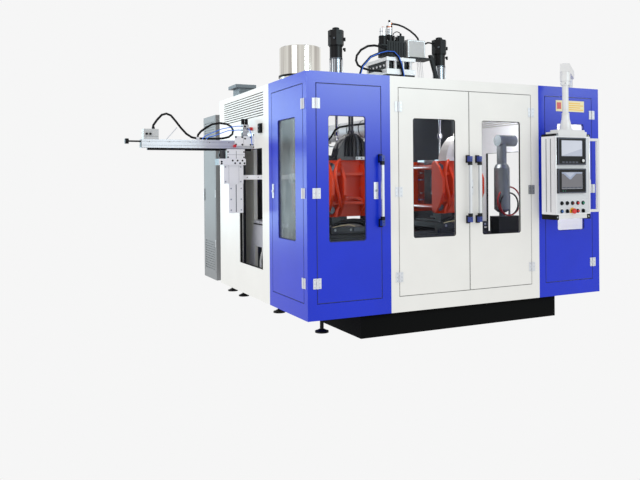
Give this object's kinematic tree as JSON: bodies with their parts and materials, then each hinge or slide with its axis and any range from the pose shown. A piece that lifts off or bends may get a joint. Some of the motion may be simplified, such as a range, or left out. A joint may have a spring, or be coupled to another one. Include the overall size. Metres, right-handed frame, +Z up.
{
  "type": "blow moulding machine",
  "caption": "Double-station extrusion blow moulding machine in a blue and white guard housing with windowed doors, a side take-out beam, a hanging control pendant and a rear extruder.",
  "frame": {"origin": "on the floor straight under the die head's axis", "axes": "+X to the right along the front, +Y from the front doors towards the extruder, +Z up"},
  "size_m": [4.688, 4.9705, 3.399],
  "materials": {
    "guard_blue": "satin",
    "guard_white": "satin",
    "handle_blue": "gloss",
    "cabinet_grey": "satin",
    "skid_black": "satin",
    "frame_dark": "satin",
    "clear_pane": "gloss",
    "pendant_grey": "satin",
    "bezel_black": "matte",
    "screen": "gloss",
    "light_plastic": "satin",
    "light_paint": "satin",
    "button_red": "gloss",
    "button_green": "gloss",
    "button_blue": "gloss",
    "button_black": "gloss",
    "steel": "satin",
    "zinc_steel": "satin",
    "gearbox_paint": "satin",
    "motor_paint": "satin",
    "hopper_steel": "satin",
    "head_steel": "satin",
    "plate_white": "satin",
    "actuator_black": "satin",
    "box_grey": "satin",
    "cylinder_black": "satin",
    "pin_steel": "gloss",
    "platen_orange": "satin",
    "mould_alloy": "satin",
    "beam_alloy": "satin",
    "hose_rubber": "matte"
  },
  "bodies": {
    "machine": {"base_skid": "skid_black", "levelling_feet": "zinc_steel", "left_cabinet": "guard_blue", "right_cabinet": "guard_blue", "centre_portal": "guard_white", "left_side_wall": "guard_white", "right_side_wall": "guard_white", "rear_wall": "guard_white", "electrical_cabinet": "cabinet_grey", "right_door": "guard_blue", "right_door_window": "clear_pane", "extruder_barrel": "steel", "extruder_gearbox": "gearbox_paint", "extruder_motor": "motor_paint", "hopper": "hopper_steel", "die_head": "head_steel", "head_plates": "plate_white", "parison_actuator": "actuator_black", "head_junction_box": "box_grey", "blow_cylinders": "cylinder_black", "machine_frame": "frame_dark", "takeout_beam": "beam_alloy", "hoses": "hose_rubber"},
    "front_door": {"front_door": "guard_blue", "front_door_window": "clear_pane", "front_door_handle": "handle_blue"},
    "side_door": {"side_door": "guard_blue", "side_door_window": "clear_pane"},
    "left_double_door": {"left_double_door": "guard_white", "left_double_window": "clear_pane", "left_double_handle": "handle_blue"},
    "right_double_door": {"right_double_door": "guard_white", "right_double_window": "clear_pane", "right_double_handle": "handle_blue"},
    "pendant_arm": {"pendant_arm": "light_paint"},
    "pendant": {"pendant_tube": "light_paint", "pendant_housing": "pendant_grey", "display_bezels": "bezel_black", "display_screens": "screen", "pendant_handle": "light_plastic"},
    "emergency_stop": {"emergency_stop": "button_red"},
    "left_selector": {"left_selector": "button_black"},
    "right_selector": {"right_selector": "button_black"},
    "green_button": {"green_button": "button_green"},
    "upper_red_button": {"upper_red_button": "button_red"},
    "lower_red_button": {"lower_red_button": "button_red"},
    "blue_button": {"blue_button": "button_blue"},
    "left_blow_pin": {"left_blow_pin": "pin_steel"},
    "right_blow_pin": {"right_blow_pin": "pin_steel"},
    "left_carriage": {"left_carriage": "frame_dark"},
    "right_carriage": {"right_carriage": "frame_dark"},
    "left_front": {"left_front_platen": "platen_orange", "left_front_mould": "mould_alloy"},
    "left_rear": {"left_rear_platen": "platen_orange", "left_rear_mould": "mould_alloy"},
    "right_front": {"right_front_platen": "platen_orange", "right_front_mould": "mould_alloy"},
    "right_rear": {"right_rear_platen": "platen_orange", "right_rear_mould": "mould_alloy"},
    "takeout_carriage": {"takeout_carriage": "light_paint"}
  },
  "joints": [
    {"name": "front_door_hinge", "type": "hinge", "parent": "machine", "child": "front_door", "pos_m": [-1.6125, -1.459, 1.3], "axis": [0, 0, -1], "range_deg": [0, 105]},
    {"name": "side_door_hinge", "type": "hinge", "parent": "machine", "child": "side_door", "pos_m": [-1.7115, -1.375, 1.3], "axis": [0, 0, 1], "range_deg": [0, 105]},
    {"name": "left_double_hinge", "type": "hinge", "parent": "machine", "child": "left_double_door", "pos_m": [-0.7865, -1.459, 1.3], "axis": [0, 0, -1], "range_deg": [0, 105]},
    {"name": "right_double_hinge", "type": "hinge", "parent": "machine", "child": "right_double_door", "pos_m": [0.7735, -1.459, 1.3], "axis": [0, 0, 1], "range_deg": [0, 95]},
    {"name": "arm_swing", "type": "hinge", "parent": "machine", "child": "pendant_arm", "pos_m": [1.4505, -1.3, 2.6], "axis": [0, 0, 1], "range_deg": [0, 30]},
    {"name": "pendant_swivel", "type": "hinge", "parent": "pendant_arm", "child": "pendant", "pos_m": [1.0565, -1.633, 2.2], "axis": [0, 0, 1], "range_deg": [-20, 12]},
    {"name": "emergency_stop_press", "type": "slide", "parent": "pendant", "child": "emergency_stop", "axis": [0, 1, 0], "range_m": [0, 0.006], "stiffness_N_per_m": 600, "springref_m": -0.001},
    {"name": "left_selector_turn", "type": "hinge", "parent": "pendant", "child": "left_selector", "pos_m": [0.9785, -1.72, 1.103], "axis": [0, 1, 0], "range_deg": [0, 60]},
    {"name": "right_selector_turn", "type": "hinge", "parent": "pendant", "child": "right_selector", "pos_m": [1.1885, -1.72, 1.103], "axis": [0, 1, 0], "range_deg": [0, 60]},
    {"name": "green_button_press", "type": "slide", "parent": "pendant", "child": "green_button", "axis": [0, 1, 0], "range_m": [0, 0.005], "stiffness_N_per_m": 600, "springref_m": -0.001},
    {"name": "upper_red_button_press", "type": "slide", "parent": "pendant", "child": "upper_red_button", "axis": [0, 1, 0], "range_m": [0, 0.005], "stiffness_N_per_m": 600, "springref_m": -0.001},
    {"name": "lower_red_button_press", "type": "slide", "parent": "pendant", "child": "lower_red_button", "axis": [0, 1, 0], "range_m": [0, 0.005], "stiffness_N_per_m": 600, "springref_m": -0.001},
    {"name": "blue_button_press", "type": "slide", "parent": "pendant", "child": "blue_button", "axis": [0, 1, 0], "range_m": [0, 0.005], "stiffness_N_per_m": 600, "springref_m": -0.001},
    {"name": "left_blow_stroke", "type": "slide", "parent": "machine", "child": "left_blow_pin", "axis": [0, 0, -1], "range_m": [0, 0.25]},
    {"name": "right_blow_stroke", "type": "slide", "parent": "machine", "child": "right_blow_pin", "axis": [0, 0, -1], "range_m": [0, 0.25]},
    {"name": "left_shuttle", "type": "slide", "parent": "machine", "child": "left_carriage", "axis": [1, 0, 0], "range_m": [0, 0.688]},
    {"name": "right_shuttle", "type": "slide", "parent": "machine", "child": "right_carriage", "axis": [1, 0, 0], "range_m": [-0.688, 0]},
    {"name": "left_front_close", "type": "slide", "parent": "left_carriage", "child": "left_front", "axis": [0, 1, 0], "range_m": [0, 0.11]},
    {"name": "left_rear_close", "type": "slide", "parent": "left_carriage", "child": "left_rear", "axis": [0, -1, 0], "range_m": [0, 0.11]},
    {"name": "right_front_close", "type": "slide", "parent": "right_carriage", "child": "right_front", "axis": [0, 1, 0], "range_m": [0, 0.11]},
    {"name": "right_rear_close", "type": "slide", "parent": "right_carriage", "child": "right_rear", "axis": [0, -1, 0], "range_m": [0, 0.11]},
    {"name": "takeout_travel", "type": "slide", "parent": "machine", "child": "takeout_carriage", "axis": [-1, 0, 0], "range_m": [0, 0.7]}
  ],
  "couplings": [
    {"joint": "left_rear_close", "follows": "left_front_close", "ratio": 1},
    {"joint": "right_rear_close", "follows": "right_front_close", "ratio": 1}
  ]
}
